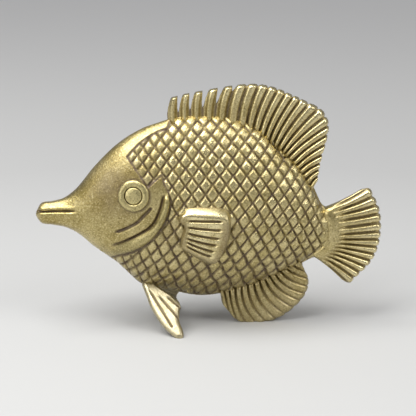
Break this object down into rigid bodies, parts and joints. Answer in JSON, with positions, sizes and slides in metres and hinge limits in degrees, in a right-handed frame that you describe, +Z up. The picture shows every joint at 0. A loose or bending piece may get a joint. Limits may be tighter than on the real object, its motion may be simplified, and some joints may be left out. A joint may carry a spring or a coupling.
{
  "type": "fish figurine",
  "caption": "Small antique-brass fish ornament with a long snout, engraved diamond scales and ridged fins; it stands on its pelvic and anal fins.",
  "frame": {"origin": "on the floor under the middle of the overall length and thickness", "axes": "+Z up, nose towards -X, tail towards +X, the fish's left flank towards -Y"},
  "size_m": [0.0602, 0.0186, 0.0426],
  "materials": {
    "scaled_body": "cast, engraved, dark patina in the grooves",
    "ridged_fins": "cast, engraved, worn bright on the ridges",
    "polished_fins": "worn bright",
    "head_trim": "cast, lightly brushed",
    "pins": "drawn wire"
  },
  "bodies": {
    "root": {"body_half_left": "scaled_body", "body_half_right": "scaled_body", "dorsal_fin": "ridged_fins", "anal_fin": "ridged_fins", "tail_fin": "ridged_fins", "pelvic_fin_left": "polished_fins", "pelvic_fin_right": "polished_fins", "pectoral_fin_left": "ridged_fins", "pectoral_fin_right": "ridged_fins", "gill_flap_left": "head_trim", "gill_flap_right": "head_trim", "eye_ring_left": "head_trim", "eye_ring_right": "head_trim", "eye_pupil_left": "head_trim", "eye_pupil_right": "head_trim", "seam_pins": "pins"}
  },
  "joints": []
}
